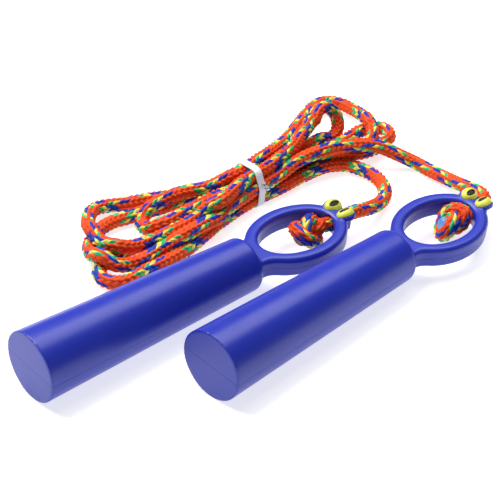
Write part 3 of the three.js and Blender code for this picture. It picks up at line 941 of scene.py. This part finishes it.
def make_tie(curve, look):
    """A ribbon drawn round the hank's waist, with ridges along it and its two ends twisted together."""
    loop, outwards = tie_loop(curve)
    profile = []
    for u in np.linspace(-1, 1, 33):
        ridge = sum(math.exp(-(((u - c * 1.9) / 0.1) ** 2)) for c in TIE_RIDGES)
        profile.append((u * TIE_WIDTH / 2, TIE_THICKNESS + TIE_RIDGE_HEIGHT * ridge))
    profile += [(TIE_WIDTH / 2, 0.0), (-TIE_WIDTH / 2, 0.0)]
    width = len(profile)
    vertices, faces = [], []
    for n in range(len(loop)):
        slant = TIE_SLANT * (loop[n, 1] - 9)
        vertices += [
            (TIE_PLACE + slant + u, loop[n, 0] + outwards[n, 0] * h,
             max(0.03, loop[n, 1] + outwards[n, 1] * h)) for u, h in profile]
        m = (n + 1) % len(loop)
        for a in range(width):
            b = (a + 1) % width
            faces.append((n * width + a, n * width + b, m * width + b, m * width + a))
    start = Vector((TIE_PLACE + 1.0, loop[:, 0].min() + 0.6, 12.5))
    for first_turn in (0, math.pi):
        base = len(vertices)
        vertices += twist_strand(start, first_turn)
        for n in range(TWIST_STEPS - 1):
            low, high = base + n * 4, base + (n + 1) * 4
            for a in range(4):
                b = (a + 1) % 4
                faces.append((low + a, low + b, high + b, high + a))
        faces.append(tuple(base + a for a in (3, 2, 1, 0)))
        faces.append(tuple(base + (TWIST_STEPS - 1) * 4 + a for a in range(4)))
    tie = add_mesh("tie_ribbon", vertices, faces, [look["tie"]])
    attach(tie, "rope")
    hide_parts("twist_tie")
    return tie


def make_handle(side, look):
    matrix = handle_matrix(side)
    body = f"{side}_handle"
    upper = (upper_distance, (*SHELL_LOW[:2], -SHELL_CELL), SHELL_HIGH, PARTING_GAP / 2)
    lower = (lower_distance, SHELL_LOW, (*SHELL_HIGH[:2], SHELL_CELL), -PARTING_GAP / 2)
    for half, (distance, low, high, edge) in {"upper": upper, "lower": lower}.items():
        piece = solid(
            f"{side}_{half}_half", distance, low, high, SHELL_CELL, matrix, [look["blue"]], edge)
        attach(piece, body)
        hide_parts(f"{side}_{half}_shell")
    for place, sign in (("far", 1), ("near", -1)):
        turned = matrix @ eye_matrix(sign)
        eye = solid(f"{side}_{place}_eyeball", eye_distance, (-5, -4, -0.5), (5, 4, 3.2), EYE_CELL,
                    turned, [look["yellow"]])
        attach(eye, body)
        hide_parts(f"{side}_{place}_eye")
        # The slit's second material gives its middle a painted reflection.
        pupil = solid(f"{side}_{place}_slit", pupil_distance, (-3.2, -2, 0.8), (3.2, 2, 3), PUPIL_CELL,
                      turned, [look["black"], look["painted_reflection_grey"]])
        paint_middle(pupil, turned)
        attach(pupil, body)
        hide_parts(f"{side}_{place}_pupil")


def paint_middle(pupil, matrix):
    """The sunken middle of a pupil takes its second material: glossier, and a lighter grey that is a
    painted reflection.
    """
    back = matrix.inverted()
    for face in pupil.data.polygons:
        p = back @ (face.center / MM)
        inner = math.hypot(p.x / (PUPIL_HALVES[0] - 0.55), p.y / (PUPIL_HALVES[1] - 0.5))
        face.material_index = 1 if inner < 1 and p.z > PUPIL_FLOOR + 0.3 else 0


# ---------------------------------------------------------------- studio

FLOOR_SIZE = 8000.0


def make_studio():
    """A white paper floor, a dim world and three softboxes."""
    scene = bpy.context.scene
    scene.view_settings.view_transform = "Standard"
    world = bpy.data.worlds.new("studio")
    scene.world = world
    world.use_nodes = True
    background = world.node_tree.nodes["Background"]
    background.inputs["Color"].default_value = (0.95, 0.97, 1.0, 1)
    background.inputs["Strength"].default_value = 0.15
    paint = Paint("floor_paper", 0.9)
    paint.shader.inputs["Base Color"].default_value = (0.6, 0.6, 0.6, 1)
    paint.shader.inputs["Emission Color"].default_value = (1.0, 1.0, 1.0, 1)
    paint.shader.inputs["Emission Strength"].default_value = 0.7
    half = FLOOR_SIZE / 2
    corners = [(-half, -half, 0), (half, -half, 0), (half, half, 0), (-half, half, 0)]
    floor = add_mesh("floor", corners, [(0, 1, 2, 3)], [paint.material])
    softbox("key", (-0.1, 0.5, 0.85), 0.7, 13.5)
    softbox("top", (0.45, 0.15, 0.8), 0.6, 4.0)
    softbox("fill", (-0.9, -0.1, 0.3), 0.4, 0.25)


def softbox(name, place, size, power):
    data = bpy.data.lights.new(name, "AREA")
    data.shape = "SQUARE"
    data.size = size
    data.energy = power
    lamp = bpy.data.objects.new(name, data)
    bpy.context.scene.collection.objects.link(lamp)
    lamp.location = place
    lamp.rotation_euler = (Vector((0, 0.02, 0)) - Vector(place)).to_track_quat("-Z", "Y").to_euler()


# ---------------------------------------------------------------- putting it together

make_camera()
make_studio()
look = make_materials()
rope, rope_curve = make_rope(look)
knot = overhand()
ends = []
for side in HANDLES:
    ends += make_knot(side, look, knot)
tie = make_tie(rope_curve, look)
for side in HANDLES:
    make_handle(side, look)
